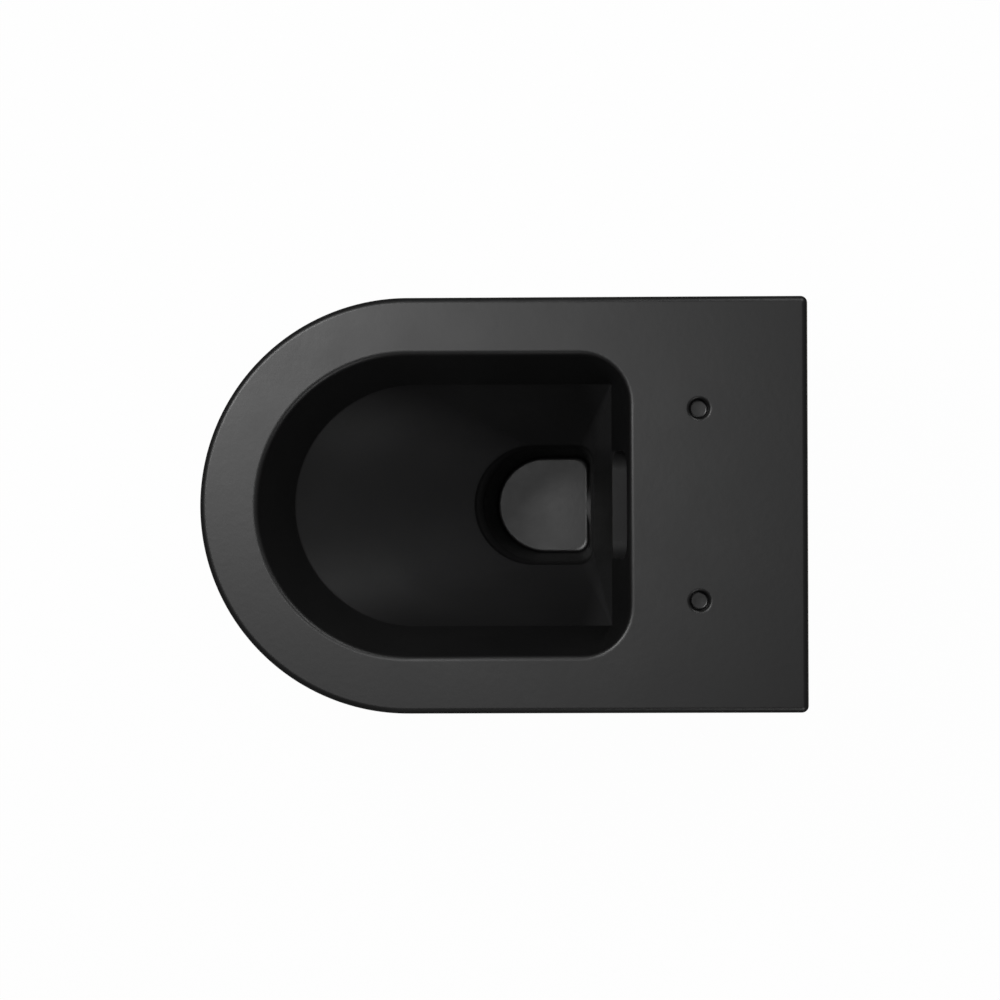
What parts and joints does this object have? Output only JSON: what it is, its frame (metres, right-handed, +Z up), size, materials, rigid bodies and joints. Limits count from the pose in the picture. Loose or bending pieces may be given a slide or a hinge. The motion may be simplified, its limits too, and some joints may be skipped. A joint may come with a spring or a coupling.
{
  "type": "rimless toilet pan",
  "caption": "Wall-hung rimless toilet pan with a D-shaped bowl, a smooth full shroud, a horizontal trap outlet and concealed side fixings; no seat.",
  "frame": {"origin": "on the wall, midway between the two wall studs that carry the pan", "axes": "+Y into the wall, so the round front points to -Y; +Z up, square to the level rim; +X to the right of someone who faces the pan from the front"},
  "size_m": [0.36, 0.525, 0.34],
  "materials": {
    "glaze": "matt black glaze",
    "moulding": "fine matt moulding",
    "nylon": "grey glass-filled nylon",
    "rubber": "soft matt rubber",
    "steel": "zinc plated",
    "brass": "turned",
    "cap": "matt black to match the glaze"
  },
  "bodies": {
    "root": {"rim_plate": "glaze", "bowl": "glaze", "shroud": "glaze", "sump": "glaze", "trapway": "glaze", "outlet_spigot": "glaze", "flush_duct": "glaze", "inlet_socket": "glaze", "rear_web": "glaze", "distributor": "moulding", "distributor_gasket": "rubber", "wall_bracket_left": "nylon", "wall_bracket_right": "nylon", "stud_washer_left": "steel", "stud_washer_right": "steel", "stud_nut_left": "steel", "stud_nut_right": "steel", "bracket_insert_left": "brass", "bracket_insert_right": "brass", "side_bush_left": "nylon", "side_bush_right": "nylon", "side_screw_left": "steel", "side_screw_right": "steel", "cover_cap_left": "cap", "cover_cap_right": "cap"}
  },
  "joints": []
}
